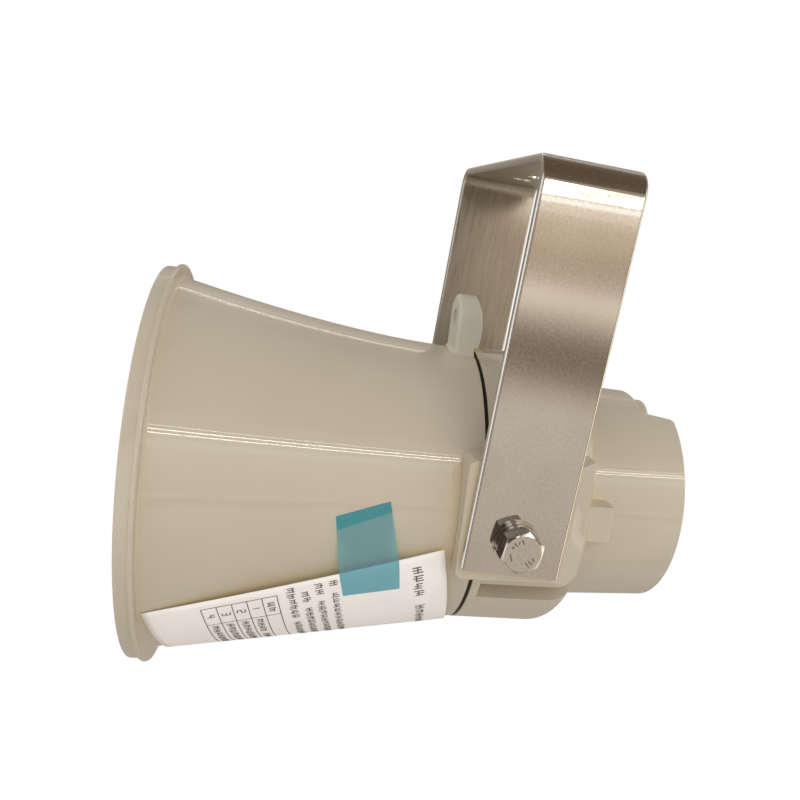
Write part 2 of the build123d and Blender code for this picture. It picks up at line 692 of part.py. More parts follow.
def make_surround():
    r0, r1, r2, r3 = surround_r, surround_r + surround_flat, roll_r, clamp_r
    x, t = plate_rear, film_t
    mid = ((r1 + r2) / 2, surround_roll)
    return turned(
        Line((x, r0), (x, r1)), ThreePointArc((x, r1), (x + mid[1], mid[0]), (x, r2)),
        Line((x, r2), (x, r3)), Line((x, r3), (x + t, r3)), Line((x + t, r3), (x + t, r2)),
        ThreePointArc((x + t, r2), (x + t + mid[1], mid[0]), (x + t, r1)),
        Line((x + t, r1), (x + t, r0)), Line((x + t, r0), (x, r0)))


def make_surround_ring():
    spacer = ring(spacer_front, top_plate_x, roll_r + surround_gap, motor_r) \
        + ring(plate_rear, spacer_front, clamp_r, motor_r)
    for deg in (90, 210, 330):
        y, z = around(plate_screw_circle, deg)
        spacer -= rod_x(plate_rear - 1, top_plate_x + 1, m3_r + screw_fit, y, z)
    return spacer


def make_top_plate():
    plate = ring(top_plate_x, magnet_x, coil_r + coil_gap, motor_r)
    for deg in (90, 210, 330):
        y, z = around(plate_screw_circle, deg)
        plate -= rod_x(top_plate_x - 1, magnet_x - 0.5, m3_r + screw_fit, y, z)
    return plate


def make_back_plate():
    plate = ring(back_plate_x, back_plate_rear, 0, motor_r - back_plate_step)
    return plate + ring(top_plate_x - 0.5, back_plate_x, 0, dome_r - pole_gap)


def make_coil():
    mid = top_plate_x + top_plate_t / 2
    return ring(mid - coil_len / 2, mid + coil_len / 2, dome_r, coil_r)


# Screws inside
def make_plate_screws():
    screw = pan_screw(m3_r, magnet_x - 1 - (bell_len + m3_head_h + 0.2), m3_head_r, m3_head_h)
    return Compound([screw_x(screw, bell_len + m3_head_h + 0.2, *around(plate_screw_circle, deg),
                             head_to_rear=False) for deg in (90, 210, 330)])


def make_driver_screws():
    length = plate_rear - (bell_len - rear_wall_t + 0.6)
    screw = pan_screw(m4_r, length, m4_head_r, m4_head_h)
    return Compound([screw_x(screw, plate_rear, *around(driver_screw_circle, deg))
                     for deg in (45, 135, 225, 315)])


def make_horn_screws():
    seat = bell_len - m3_head_h - 0.1
    length = seat - (bell_len - rear_wall_t - tube_flange_t + 0.6)
    screw = pan_screw(m3_r, length, m3_head_r, m3_head_h)
    return Compound([screw_x(screw, seat, *around(horn_screw_circle, deg)) for deg in (30, 150, 270)])


def make_housing_screws():
    length = channel_front - (bell_len - house_thread)
    screw = pan_screw(m4_r, length, m4_head_r, m4_head_h)
    return Compound([screw_x(screw, channel_front, *around(house_screw_r, deg)) for deg in house_screw_degs])


# Pivot hardware, near side first
def make_pivot_bolt():
    head = hex_prism(bolt_head_af, bolt_head_h)
    corner = bolt_head_af / math.sqrt(3)
    chamfer = revolve(make_face(Polyline(
        (0, 0), (corner + 1, 0), (corner + 1, bolt_head_h - 1.4), (bolt_head_af * 0.475, bolt_head_h),
        (0, bolt_head_h), (0, 0))), Axis.Y)
    head = head & (Rot(90, 0, 0) * chamfer)
    bolt = head + Pos(0, 0, -bolt_len / 2) * Cylinder(bolt_r, bolt_len)
    seat_y = -(washer_y + plain_washer_t + spring_washer_t)
    return Pos(pivot_x, seat_y, pivot_z) * Rot(90, 0, 0) * Rot(0, 0, 20) * bolt


def make_spring_washer():
    washer = Cylinder(spring_washer_r, spring_washer_t) - Cylinder(bolt_r + loose_clear, 2 * spring_washer_t)
    washer -= Pos(spring_washer_r, 0, 0) * Rot(25, 0, 0) \
        * Box(spring_washer_r * 1.4, spring_split, 3 * spring_washer_t)
    y = -(washer_y + plain_washer_t + spring_washer_t / 2)
    return Pos(pivot_x, y, pivot_z) * Rot(90, 0, 0) * Rot(0, 0, 200) * washer


def make_plain_washer():
    washer = Cylinder(plain_washer_r, plain_washer_t) - Cylinder(bolt_r + loose_clear, 2 * plain_washer_t)
    return Pos(pivot_x, -(washer_y + plain_washer_t / 2), pivot_z) * Rot(90, 0, 0) * washer


def make_pivot_nut():
    nut = hex_prism(bolt_head_af, nut_h) - Cylinder(bolt_r + screw_fit, 3 * nut_h)
    return Pos(pivot_x, -(pad_y - nut_seat), pivot_z) * Rot(-90, 0, 0) * nut


# Transformer: laminated core with two windows, its winding, and a strap with two feet
def core_front():
    return rear_inner - core_stand_off - core_t


def make_core():
    x0 = core_front()
    x1 = x0 + core_t
    low, high = core_mid_z - core_h / 2, core_mid_z + core_h / 2
    core = block(x0, x1, -core_w / 2, core_w / 2, low, high)
    for side in (-1, 1):
        near, far = sorted((side * core_leg / 2, side * (core_w / 2 - core_yoke)))
        core -= block(x0 - 1, x1 + 1, near, far, low + core_yoke, high - core_yoke)
    return core


def make_winding():
    x0 = core_front() - winding_over
    x1 = core_front() + core_t + winding_over
    half_w = core_w / 2 - core_yoke - winding_fit
    low = core_mid_z - core_h / 2 + core_yoke + winding_fit
    high = core_mid_z + core_h / 2 - core_yoke - winding_fit
    coil = block(x0, x1, -half_w, half_w, low, high)
    return coil - block(core_front(), core_front() + core_t, -core_leg / 2, core_leg / 2, low - 1, high + 1)


def make_strap():
    x0 = core_front()
    half = core_w / 2
    low, high = core_mid_z - core_h / 2, core_mid_z + core_h / 2
    strap = block(x0, x0 + core_t, -half - strap_t, half + strap_t, high, high + strap_t)
    for side in (-1, 1):
        near, far = sorted((side * half, side * (half + strap_t)))
        strap += block(x0, rear_inner, near, far, low, high + strap_t)
        near, far = sorted((side * half, side * (half + strap_t + strap_foot)))
        strap += block(rear_inner - strap_t, rear_inner, near, far, low + core_yoke, high - core_yoke)
        strap -= rod_x(rear_inner - 2, rear_inner + 1, m3_r + screw_fit, side * strap_screw_y(), core_mid_z)
    return strap


def make_strap_screws():
    screw = pan_screw(m3_r, strap_t + house_rear_t - 0.8, m3_head_r, m3_head_h)
    return Compound([screw_x(screw, rear_inner - strap_t, side * strap_screw_y(), core_mid_z,
                             head_to_rear=False) for side in (-1, 1)])


def make_terminal_block():
    x0 = rear_inner - block_t
    body = block(x0, rear_inner, block_y - block_w / 2, block_y + block_w / 2,
                 block_z - block_h / 2, block_z + block_h / 2)
    for i in (-1, 0, 1):
        y = block_y + i * block_w / 3
        body -= rod_x(x0 - 1, x0 + 3, m3_r, y, block_z)
        body -= Pos(x0 + block_t / 2, y, block_z + block_h / 2) * Cylinder(m3_r * 0.9, 4)
    return body


# Cable gland through the rear wall, with a round cap outside and its nut inside
def make_gland():
    cap_end = rear_face + gland_cap_len
    gland = rod_x(rear_inner - gland_nut_t, cap_end, gland_r) + rod_x(rear_face, cap_end, gland_cap_r)
    gland = fillet(circles(gland, cap_end, gland_cap_r), gland_cap_round)
    return Pos(0, 0, gland_z) * (gland - rod_x(rear_inner - gland_nut_t - 1, cap_end + 1, cable_r))


def make_gland_nut():
    nut = Pos(rear_inner - gland_nut_t, 0, gland_z) * Rot(0, 90, 0) * hex_prism(gland_nut_af, gland_nut_t)
    return nut - rod_x(rear_inner - gland_nut_t - 1, rear_inner + 1, gland_r + screw_fit, 0, gland_z)


# Paper slip: a sheet rolled on a cone just off the flare's two ends, trimmed by four planes
def slip_r(x):
    slip_rear = bell_len - slip_rear_in
    front_r = flare_r(slip_front) + slip_front_lift
    rear_r = flare_r(slip_rear) + slip_rear_lift
    return front_r + (rear_r - front_r) * (x - slip_front) / (slip_rear - slip_front)


def on_slip(x, degrees):
    y, z = around(slip_r(x), degrees)
    return Vector(x, y, z)


def keep_side(sheet, a, b, c, inside):
    """Cuts a sheet along the plane through three points and keeps the side where a fourth lies."""
    normal = (b - a).cross(c - a).normalized()
    if (inside - a).dot(normal) < 0:
        normal = normal * -1
    plane = Plane(origin=a, z_dir=normal)
    return split(sheet, bisect_by=plane, keep=Keep.TOP)


def make_notice_sheet():
    x0, x1 = slip_front - slip_spare, bell_len + slip_spare
    r0, r1 = slip_r(x0), slip_r(x1)
    sheet = turned(
        Line((x0, r0), (x1, r1)), Line((x1, r1), (x1, r1 + slip_t)),
        Line((x1, r1 + slip_t), (x0, r0 + slip_t)), Line((x0, r0 + slip_t), (x0, r0)))
    near_front = on_slip(slip_near_front, 180 + slip_near_front_deg)
    near_rear = on_slip(bell_len - slip_near_rear_in, 180 + slip_near_rear_deg)
    far_front = on_slip(slip_far_front, -slip_far_front_deg)
    far_rear = on_slip(bell_len - slip_far_rear_in, -slip_far_rear_deg)
    mid_front = on_slip(slip_mid_front, 268)
    mid_rear = on_slip(bell_len - slip_mid_rear_in, 262)
    middle = (mid_front + mid_rear) * 0.5
    axis_mid = Vector(middle.X, 0, 0)
    sheet = keep_side(sheet, near_front, near_rear, axis_mid, middle)
    sheet = keep_side(sheet, far_front, far_rear, axis_mid, middle)
    sheet = keep_side(sheet, near_front, mid_front, far_front, middle)
    return keep_side(sheet, near_rear, mid_rear, far_rear, middle)


# Tape: a blank that lies on the flare, ramps up to the slip and lies on it, trimmed by four planes
def tape_section(x):
    bare, paper = flare_r(x) + screw_fit, slip_r(x) + slip_t + screw_fit
    degs = [deg for corner_x, deg in tape_corners]
    top, low = max(degs) + tape_spare, min(degs) - tape_spare
    share = (x - slip_near_front) / (bell_len - slip_near_rear_in - slip_near_front)
    slip_edge = -slip_near_front_deg + (slip_near_front_deg - slip_near_rear_deg) * share
    up = slip_edge + tape_margin_deg
    fold = tape_fold_deg + tape_fold_turn * (x - tape_corners[0][0])

    def point(radius, degrees):
        return around(radius, 180 - degrees)

    def arc(radius, deg_a, deg_b):
        return ThreePointArc(point(radius, deg_a), point(radius, (deg_a + deg_b) / 2), point(radius, deg_b))

    def line(lift):
        ramp = Line(point(bare + lift, fold), point(paper + lift, up))
        return [arc(bare + lift, top, fold), ramp, arc(paper + lift, up, low)]

    ends = [Line(point(bare, top), point(bare + tape_t, top)),
            Line(point(paper, low), point(paper + tape_t, low))]
    outline = make_face(line(0) + line(tape_t) + ends)
    return Plane(origin=(x, 0, 0), x_dir=(0, 1, 0), z_dir=(1, 0, 0)) * outline


def make_tape():
    stations = [x for x, deg in tape_corners]
    first, last = min(stations) - tape_spare, max(stations) + tape_spare
    tape = loft([tape_section(first), tape_section((first + last) / 2), tape_section(last)])
    corners = [Vector(x, *around(slip_r(x), 180 - deg)) for x, deg in tape_corners]
    middle = (corners[0] + corners[2]) * 0.5
    axis_mid = Vector(middle.X, 0, 0)
    for i in range(4):
        tape = keep_side(tape, corners[i - 1], corners[i], axis_mid, middle)
    return tape


makers = {
    "bell": make_bell,
    "safety_lug": make_lug,
    "seal_ring": make_seal_ring,
    "rear_housing": make_rear_housing,
    "inner_horn": make_inner_horn,
    "reflector": make_reflector,
    "reflector_screw": make_reflector_screw,
    "driver_plate": make_driver_plate,
    "phase_plug": make_phase_plug,
    "diaphragm": make_diaphragm,
    "surround": make_surround,
    "surround_ring": make_surround_ring,
    "voice_coil_former": lambda: ring(spacer_front, spacer_front + former_len, dome_r - former_t, dome_r),
    "voice_coil": make_coil,
    "top_plate": make_top_plate,
    "magnet": lambda: ring(magnet_x, back_plate_x, dome_r + magnet_gap, motor_r),
    "back_plate": make_back_plate,
    "plate_screws": make_plate_screws,
    "driver_screws": make_driver_screws,
    "horn_screws": make_horn_screws,
    "housing_screws": make_housing_screws,
    "pivot_bolts": lambda: both_sides(make_pivot_bolt()),
    "spring_washers": lambda: both_sides(make_spring_washer()),
    "plain_washers": lambda: both_sides(make_plain_washer()),
    "pivot_nuts": lambda: both_sides(make_pivot_nut()),
    "transformer_core": make_core,
    "transformer_winding": make_winding,
    "transformer_strap": make_strap,
    "strap_screws": make_strap_screws,
    "terminal_block": make_terminal_block,
    "cable_gland": make_gland,
    "gland_nut": make_gland_nut,
    "notice_sheet": make_notice_sheet,
    "tape": make_tape,
}

os.makedirs("parts", exist_ok=True)
export_step(make_bracket(), "parts/bracket.step")
for name, maker in makers.items():
    export_step(hang(maker()), f"parts/{name}.step")
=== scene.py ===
"""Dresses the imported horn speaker: materials, the printed slip, camera and light."""
import math
import random

import bpy
from mathutils import Matrix, Vector


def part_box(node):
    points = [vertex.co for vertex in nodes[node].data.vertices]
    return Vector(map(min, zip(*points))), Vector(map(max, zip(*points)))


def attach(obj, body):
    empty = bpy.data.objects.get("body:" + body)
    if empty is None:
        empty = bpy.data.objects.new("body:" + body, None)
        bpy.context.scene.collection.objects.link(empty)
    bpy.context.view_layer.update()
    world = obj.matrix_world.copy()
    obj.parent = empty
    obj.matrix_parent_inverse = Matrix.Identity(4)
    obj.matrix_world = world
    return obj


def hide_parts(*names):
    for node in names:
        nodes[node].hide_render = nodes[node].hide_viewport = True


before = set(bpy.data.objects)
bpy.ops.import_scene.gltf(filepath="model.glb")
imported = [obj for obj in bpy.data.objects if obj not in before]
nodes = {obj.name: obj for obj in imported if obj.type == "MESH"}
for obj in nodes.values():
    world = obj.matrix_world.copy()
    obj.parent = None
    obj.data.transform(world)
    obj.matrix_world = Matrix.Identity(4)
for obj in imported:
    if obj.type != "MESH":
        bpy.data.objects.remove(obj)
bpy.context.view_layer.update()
random.seed(7)

MM = 0.001

# The horn's own axes, as in the part's source: X from mouth to rear, millimetres.
PIVOT_X, PIVOT_Z = 127.5, 0.5      # the tilt axis on the horn
PIVOT_DROP = 124.0                 # the tilt axis below the bracket's mounting face
DROOP = math.radians(3.5)          # how far the mouth hangs down at rest
HANG = (Matrix.Translation((0, 0, -PIVOT_DROP * MM)) @ Matrix.Rotation(-DROOP, 4, "Y")
        @ Matrix.Translation((-PIVOT_X * MM, 0, -PIVOT_Z * MM)))


def hang(x, y, z):
    """A point given on the horn's own axes in mm, as a point of the scene."""
    return HANG @ Vector((x * MM, y * MM, z * MM))


# Camera: stands where the photo was taken from
CAMERA_PLACE = (-0.084599, -0.304005, -0.027439)
CAMERA_RIGHT = Vector((0.97829, -0.11386, 0.17317))
CAMERA_UP = Vector((-0.1424, 0.2378, 0.96082))
SENSOR, LENS = 36.0, 35.898


def add_camera():
    data = bpy.data.cameras.new("camera")
    data.sensor_width = SENSOR
    data.lens = LENS
    data.clip_start = 0.01
    data.clip_end = 50.0
    cam = bpy.data.objects.new("camera", data)
    bpy.context.collection.objects.link(cam)
    turn = Matrix((CAMERA_RIGHT, CAMERA_UP, CAMERA_RIGHT.cross(CAMERA_UP))).transposed()
    cam.matrix_world = Matrix.Translation(CAMERA_PLACE) @ turn.to_4x4()
    bpy.context.scene.camera = cam


# Small helpers for node trees
class Tree:
    """A node tree with short calls for adding and joining nodes."""

    def __init__(self, owner, output):
        owner.use_nodes = True
        self.tree = owner.node_tree
        self.tree.nodes.clear()
        self.out = self.add(output)

    def add(self, kind, **values):
        node = self.tree.nodes.new(kind)
        for key, value in values.items():
            setattr(node, key, value)
        return node

    def join(self, source, target):
        self.tree.links.new(source, target)

    def feed(self, socket, value):
        """Sets a socket to a number or a colour, or joins it to another node's output."""
        if isinstance(value, (int, float)):
            socket.default_value = value
        elif isinstance(value, tuple):
            socket.default_value = (*value, 1)
        else:
            self.join(value, socket)

    def principled(self, **values):
        shader = self.add("ShaderNodeBsdfPrincipled")
        for key, value in values.items():
            shader.inputs[key.replace("_", " ")].default_value = value
        self.join(shader.outputs[0], self.out.inputs[0])
        return shader

    def noise(self, vector, scale, detail=2.0, rough=0.5):
        node = self.add("ShaderNodeTexNoise")
        node.inputs["Scale"].default_value = scale
        node.inputs["Detail"].default_value = detail
        node.inputs["Roughness"].default_value = rough
        self.join(vector, node.inputs["Vector"])
        return node.outputs["Fac"]

    def stretch(self, vector, scale):
        node = self.add("ShaderNodeMapping")
        node.inputs["Scale"].default_value = scale
        self.join(vector, node.inputs["Vector"])
        return node.outputs[0]

    def ramp(self, fac, *stops):
        node = self.add("ShaderNodeValToRGB")
        elements = node.color_ramp.elements
        while len(elements) > 1:
            elements.remove(elements[-1])
        for i, (at, colour) in enumerate(stops):
            element = elements[0] if i == 0 else elements.new(at)
            element.position = at
            element.color = (*colour, 1)
        self.join(fac, node.inputs[0])
        return node.outputs[0]

    def grey(self, fac, low, high, at_low=0.0, at_high=1.0):
        node = self.add("ShaderNodeMapRange")
        for name, value in (("From Min", at_low), ("From Max", at_high), ("To Min", low), ("To Max", high)):
            node.inputs[name].default_value = value
        self.join(fac, node.inputs[0])
        return node.outputs[0]

    def math(self, op, a, b):
        node = self.add("ShaderNodeMath", operation=op)
        self.feed(node.inputs[0], a)
        self.feed(node.inputs[1], b)
        return node.outputs[0]

    def dot(self, a, b):
        node = self.add("ShaderNodeVectorMath", operation="DOT_PRODUCT")
        self.join(a, node.inputs[0])
        if isinstance(b, Vector):
            node.inputs[1].default_value = b
        else:
            self.join(b, node.inputs[1])
        return node.outputs["Value"]

    def mix(self, fac, a, b, blend="MIX"):
        """Mixes two colours."""
        node = self.add("ShaderNodeMix", data_type="RGBA", blend_type=blend)
        for socket, value in ((node.inputs[0], fac), (node.inputs[6], a), (node.inputs[7], b)):
            self.feed(socket, value)
        return node.outputs[2]

    def mix_grey(self, fac, a, b):
        """Mixes two numbers."""
        node = self.add("ShaderNodeMix")
        for socket, value in ((node.inputs[0], fac), (node.inputs[2], a), (node.inputs[3], b)):
            self.feed(socket, value)
        return node.outputs[0]

    def mix_shader(self, fac, a, b):
        """Mixes two shaders, and sends the mix to the output."""
        node = self.add("ShaderNodeMixShader")
        self.feed(node.inputs[0], fac)
        self.join(a.outputs[0], node.inputs[1])
        self.join(b.outputs[0], node.inputs[2])
        self.join(node.outputs[0], self.out.inputs[0])

    def hollow(self, distance, dark, clear):
        """1 down in corners and grooves, 0 where the surface lies open."""
        node = self.add("ShaderNodeAmbientOcclusion")
        node.inputs["Distance"].default_value = distance
        return self.grey(node.outputs["AO"], 1.0, 0.0, dark, clear)

    def bump(self, height, strength, distance, shader):
        node = self.add("ShaderNodeBump")
        node.inputs["Strength"].default_value = strength
        node.inputs["Distance"].default_value = distance
        self.join(height, node.inputs["Height"])
        self.join(node.outputs[0], shader.inputs["Normal"])
        return node

    def place(self):
        return self.add("ShaderNodeTexCoord").outputs["Object"]


class Mat(Tree):
    """The node tree of a new material."""

    def __init__(self, name):
        self.mat = bpy.data.materials.new(name)
        super().__init__(self.mat, "ShaderNodeOutputMaterial")


def dress(material, *names):
    for name in names:
        obj = nodes[name]
        obj.data.materials.clear()
        obj.data.materials.append(material)


# Moulded warm grey plastic: glossy skin, faint waves from the mould, and a painted warm glow of light
# through the plastic down in its corners
def horn_plastic(name, low, high, crease_glow):
    m = Mat(name)
    place = m.place()
    shader = m.principled(Roughness=0.03, IOR=1.58)
    broad = m.noise(place, 18.0, 3.0)
    fine = m.noise(place, 900.0, 2.0)
    tone = m.ramp(broad, (0.3, low), (0.7, high))
    # Painted light: a warm glow, as of light shining through the plastic, mixed in where corners and
    # creases lie
    crease_glow_mask = m.hollow(0.008, 0.35, 0.95)
    warm = m.mix(m.math("MULTIPLY", crease_glow_mask, crease_glow), tone, (0.66, 0.54, 0.33))
    speck = m.ramp(m.noise(place, 330.0, 1.0), (0.17, (0.80, 0.78, 0.74)), (0.20, (1, 1, 1)))
    m.join(m.mix(0.35, warm, speck, "MULTIPLY"), shader.inputs["Base Color"])
    m.join(m.grey(fine, 0.016, 0.032, 0.3, 0.7), shader.inputs["Roughness"])
    waves = m.noise(m.stretch(place, (12, 30, 30)), 1.0, 1.0)
    m.bump(m.math("ADD", waves, m.math("MULTIPLY", fine, 0.01)), 0.2, 0.0006, shader)
    return m.mat


# Stainless strip: polished outside with a soft mottle, brushed along its length inside, where a darker,
# browner tone is painted shade between the arms. Below each bend its face still leans back a little, as a
# strip that was bent cold does.
STRIP_MIDDLE = 0.075                    # a point this far down, between the arms, tells inside from outside
LEAN_LOW, LEAN_HIGH = -0.0303, -0.0113  # heights between which the lean grows
LEAN_DEPTH, LEAN_POWER = 0.00155, 3.35  # how deep it is, and how fast it grows


def stainless():
    m = Mat("stainless")
    coords = m.add("ShaderNodeTexCoord")
    place = coords.outputs["Object"]
    shader = m.principled(Metallic=1.0, Roughness=0.2)
    centre = m.add("ShaderNodeVectorMath", operation="ADD")
    m.join(place, centre.inputs[0])
    centre.inputs[1].default_value = (0, 0, STRIP_MIDDLE)
    facing = m.dot(centre.outputs[0], coords.outputs["Normal"])
    inside = m.grey(facing, 1.0, 0.0, -0.03, -0.01)
    streaks = m.noise(m.stretch(place, (2300, 2300, 60)), 1.0, 3.0, 0.6)
    mottle = m.noise(place, 1000.0, 3.0, 0.65)
    cloud = m.noise(place, 45.0, 3.0)
    flecks = m.math("ADD", m.math("MULTIPLY", cloud, 0.35), m.math("MULTIPLY", mottle, 0.65))
    outer = m.ramp(flecks, (0.36, (0.550, 0.523, 0.484)), (0.64, (0.650, 0.625, 0.583)))
    # Painted shade: the inner faces' darker, browner tone stands for the shade between the arms; the
    # brushed streaks in it are the strip's own grain
    inner_painted_shade = m.ramp(streaks, (0.3, (0.40, 0.365, 0.31)), (0.7, (0.56, 0.515, 0.45)))
    m.join(m.mix(inside, outer, inner_painted_shade), shader.inputs["Base Color"])
    smooth = m.grey(mottle, 0.05, 0.10, 0.3, 0.7)
    rough = m.grey(streaks, 0.26, 0.42, 0.3, 0.7)
    m.join(m.mix_grey(inside, smooth, rough), shader.inputs["Roughness"])
    height = m.mix_grey(inside, m.math("MULTIPLY", mottle, 0.07), streaks)
    grain = m.bump(height, 0.35, 0.00008, shader)
    split = m.add("ShaderNodeSeparateXYZ")
    m.join(place, split.inputs[0])
    rise = m.grey(split.outputs["Z"], 0.0, 1.0, LEAN_LOW, LEAN_HIGH)
    above = m.math("DIVIDE", m.math("SUBTRACT", split.outputs["Z"], LEAN_HIGH), LEAN_HIGH - LEAN_LOW)
    beyond = m.math("MAXIMUM", above, 0.0)
    fall = m.math("ADD", m.math("POWER", rise, LEAN_POWER), m.math("MULTIPLY", beyond, LEAN_POWER))
    lean = m.add("ShaderNodeBump", invert=True)
    lean.inputs["Strength"].default_value = 1.0
    lean.inputs["Distance"].default_value = LEAN_DEPTH
    m.join(fall, lean.inputs["Height"])
    m.join(lean.outputs[0], grain.inputs["Normal"])
    return m.mat


# Bright screws, bolts and washers, with painted shade darkening them down in their grooves
def bright_steel():
    m = Mat("bright_steel")
    place = m.place()
    shader = m.principled(Metallic=1.0, Roughness=0.14)
    marks = m.noise(place, 900.0, 3.0, 0.6)
    tone = m.ramp(marks, (0.3, (0.56, 0.535, 0.50)), (0.7, (0.66, 0.635, 0.60)))
    # Painted shade: near-black mixed in where grooves and corners lie
    groove_shade = m.math("MULTIPLY", m.hollow(0.0015, 0.25, 0.75), 0.9)
    m.join(m.mix(groove_shade, tone, (0.06, 0.052, 0.045)), shader.inputs["Base Color"])
    m.join(m.grey(marks, 0.09, 0.17, 0.3, 0.7), shader.inputs["Roughness"])
    m.bump(marks, 0.05, 0.00003, shader)
    return m.mat


def plain(name, low, high, rough, scale, metallic):
    """A material with fine grain between two tones, mostly for pieces that are inside."""
    m = Mat(name)
    place = m.place()
    shader = m.principled(Metallic=metallic, Roughness=rough)
    grain = m.noise(place, scale, 4.0, 0.6)
    m.join(m.ramp(grain, (0.3, low), (0.7, high)), shader.inputs["Base Color"])
    m.join(m.grey(grain, rough * 0.8, min(1.0, rough * 1.2), 0.3, 0.7), shader.inputs["Roughness"])
    m.bump(grain, 0.15, 0.0001, shader)
    return m.mat


# Office paper: white with the faintest cloud of fibres
def paper():
    m = Mat("slip_paper")
    place = m.place()
    shader = m.principled(Roughness=0.75)
    fibres = m.noise(place, 1800.0, 4.0, 0.7)
    cloud = m.noise(place, 60.0, 2.0)
    both = m.math("ADD", m.math("MULTIPLY", fibres, 0.4), m.math("MULTIPLY", cloud, 0.6))
    tone = m.ramp(both, (0.35, (0.850, 0.800, 0.765)), (0.65, (0.885, 0.835, 0.800)))
    m.join(tone, shader.inputs["Base Color"])
    m.bump(fibres, 0.1, 0.00005, shader)
    return m.mat


# Printing ink, a little uneven
def ink():
    m = Mat("slip_ink")
    place = m.place()
    shader = m.principled(Roughness=0.6)
    tone = m.ramp(m.noise(place, 2500.0), (0.3, (0.05, 0.05, 0.05)), (0.7, (0.12, 0.115, 0.115)))
    m.join(tone, shader.inputs["Base Color"])
    return m.mat


# Where the tape's folded end stops: station, radius and angle of the two ends of that line
FOLD = ((68.2, 57.8, -1.3), (86.4, 55.1, 5.7))
FOLD_BLUR = 0.0001


def fold_line():
    """The two ends of the line where the tape's folded end stops, and a point on the horn's axis."""
    ends = []
    for x, r, deg in FOLD:
        a = math.radians(180 - deg)
        ends.append(hang(x, r * math.cos(a), r * math.sin(a)))
    return *ends, hang(77.0, 0, 0)


# Tinted tape: clear enough to show what is under it; its top end is folded over double and darker
def tape():
    m = Mat("tinted_tape")
    place = m.place()
    shader = m.principled(Roughness=0.2, IOR=1.47)
    clear = m.add("ShaderNodeBsdfTransparent")
    grain = m.noise(place, 1300.0, 3.0, 0.7)
    a, b, c = fold_line()
    normal = (b - a).cross(c - a).normalized()
    if normal.z < 0:
        normal = -normal
    edge = normal.dot(a)
    fold = m.grey(m.dot(place, normal), 0.0, 1.0, edge - FOLD_BLUR, edge + FOLD_BLUR)
    single = m.ramp(grain, (0.3, (0.36, 0.47, 0.60)), (0.7, (0.46, 0.57, 0.71)))
    double = m.ramp(grain, (0.3, (0.085, 0.34, 0.38)), (0.7, (0.12, 0.42, 0.46)))
    m.join(m.mix(fold, single, double), shader.inputs["Base Color"])
    m.join(m.mix(fold, (0.64, 0.87, 0.89), (0.52, 0.85, 0.88)), clear.inputs[0])
    m.mix_shader(m.grey(fold, 0.2, 0.5), clear, shader)
    m.bump(grain, 0.2, 0.00005, shader)
    return m.mat


# The printed slip: a sheet rolled on a cone, from the rim flange to the collar
SLIP_FRONT, SLIP_REAR = 7.4, 110.5          # two stations of the cone, and its radius there
SLIP_FRONT_R, SLIP_REAR_R = 70.3, 55.5
SLIP_SLOPE = (SLIP_REAR_R - SLIP_FRONT_R) / (SLIP_REAR - SLIP_FRONT)
APEX_X = SLIP_FRONT - SLIP_FRONT_R / SLIP_SLOPE
HALF_ANGLE = math.atan(-SLIP_SLOPE)
SHEET_S, SHEET_T = 101.5, 148.0             # the sheet along the horn, and round it
SHEET_UNDER, SHEET_OVER, PRINT_LIFT = 0.06, 0.22, 0.26


def to_plane(x, deg):
    """Unrolls a point of the cone, at a station and an angle, onto a flat sheet."""
    reach = (APEX_X - x) / math.cos(HALF_ANGLE)
    turn = math.radians(deg) * math.sin(HALF_ANGLE)
    return Vector((reach * math.cos(turn), reach * math.sin(turn)))


# The sheet's near front corner, and the ways of its two edges from there
CORNER = to_plane(7.3, 207.1)
ALONG = (to_plane(104.5, 187.0) - CORNER).normalized()
ACROSS = Vector((-ALONG.y, ALONG.x))
if ACROSS.dot(to_plane(60, 270) - CORNER) < 0:
    ACROSS = -ACROSS


def on_sheet(s, t, lift):
    """Rolls a point of the flat sheet back onto the cone, in scene coordinates."""
    p = CORNER + ALONG * s + ACROSS * t
    reach, turn = p.length, math.atan2(p.y, p.x)
    x = APEX_X - reach * math.cos(HALF_ANGLE)
    radius = reach * math.sin(HALF_ANGLE) + lift
    theta = turn / math.sin(HALF_ANGLE)
    return hang(x, radius * math.cos(theta), radius * math.sin(theta))


def add_mesh(name, points, faces, material, smooth=True):
    mesh = bpy.data.meshes.new(name)
    mesh.from_pydata([tuple(p) for p in points], [], faces)
    mesh.materials.append(material)
    mesh.validate()
    mesh.update()
    for polygon in mesh.polygons:
        polygon.use_smooth = smooth
    obj = bpy.data.objects.new(name, mesh)
    bpy.context.collection.objects.link(obj)
    return obj


def make_slip(material):
    cols, rows = 42, 60
    points, faces = [], []
    for lift in (SHEET_UNDER, SHEET_OVER):
        for j in range(rows + 1):
            for i in range(cols + 1):
                points.append(on_sheet(SHEET_S * i / cols, SHEET_T * j / rows, lift))
    layer = (cols + 1) * (rows + 1)

    def at(i, j, k):
        return k * layer + j * (cols + 1) + i
    for j in range(rows):
        for i in range(cols):
            faces.append((at(i, j, 0), at(i, j + 1, 0), at(i + 1, j + 1, 0), at(i + 1, j, 0)))
            faces.append((at(i, j, 1), at(i + 1, j, 1), at(i + 1, j + 1, 1), at(i, j + 1, 1)))
    for i in range(cols):
        faces.append((at(i, 0, 0), at(i + 1, 0, 0), at(i + 1, 0, 1), at(i, 0, 1)))
        faces.append((at(i, rows, 0), at(i, rows, 1), at(i + 1, rows, 1), at(i + 1, rows, 0)))
    for j in range(rows):
        faces.append((at(0, j, 0), at(0, j, 1), at(0, j + 1, 1), at(0, j + 1, 0)))
        faces.append((at(cols, j, 0), at(cols, j + 1, 0), at(cols, j + 1, 1), at(cols, j, 1)))
    return add_mesh("printed_slip", points, faces, material)


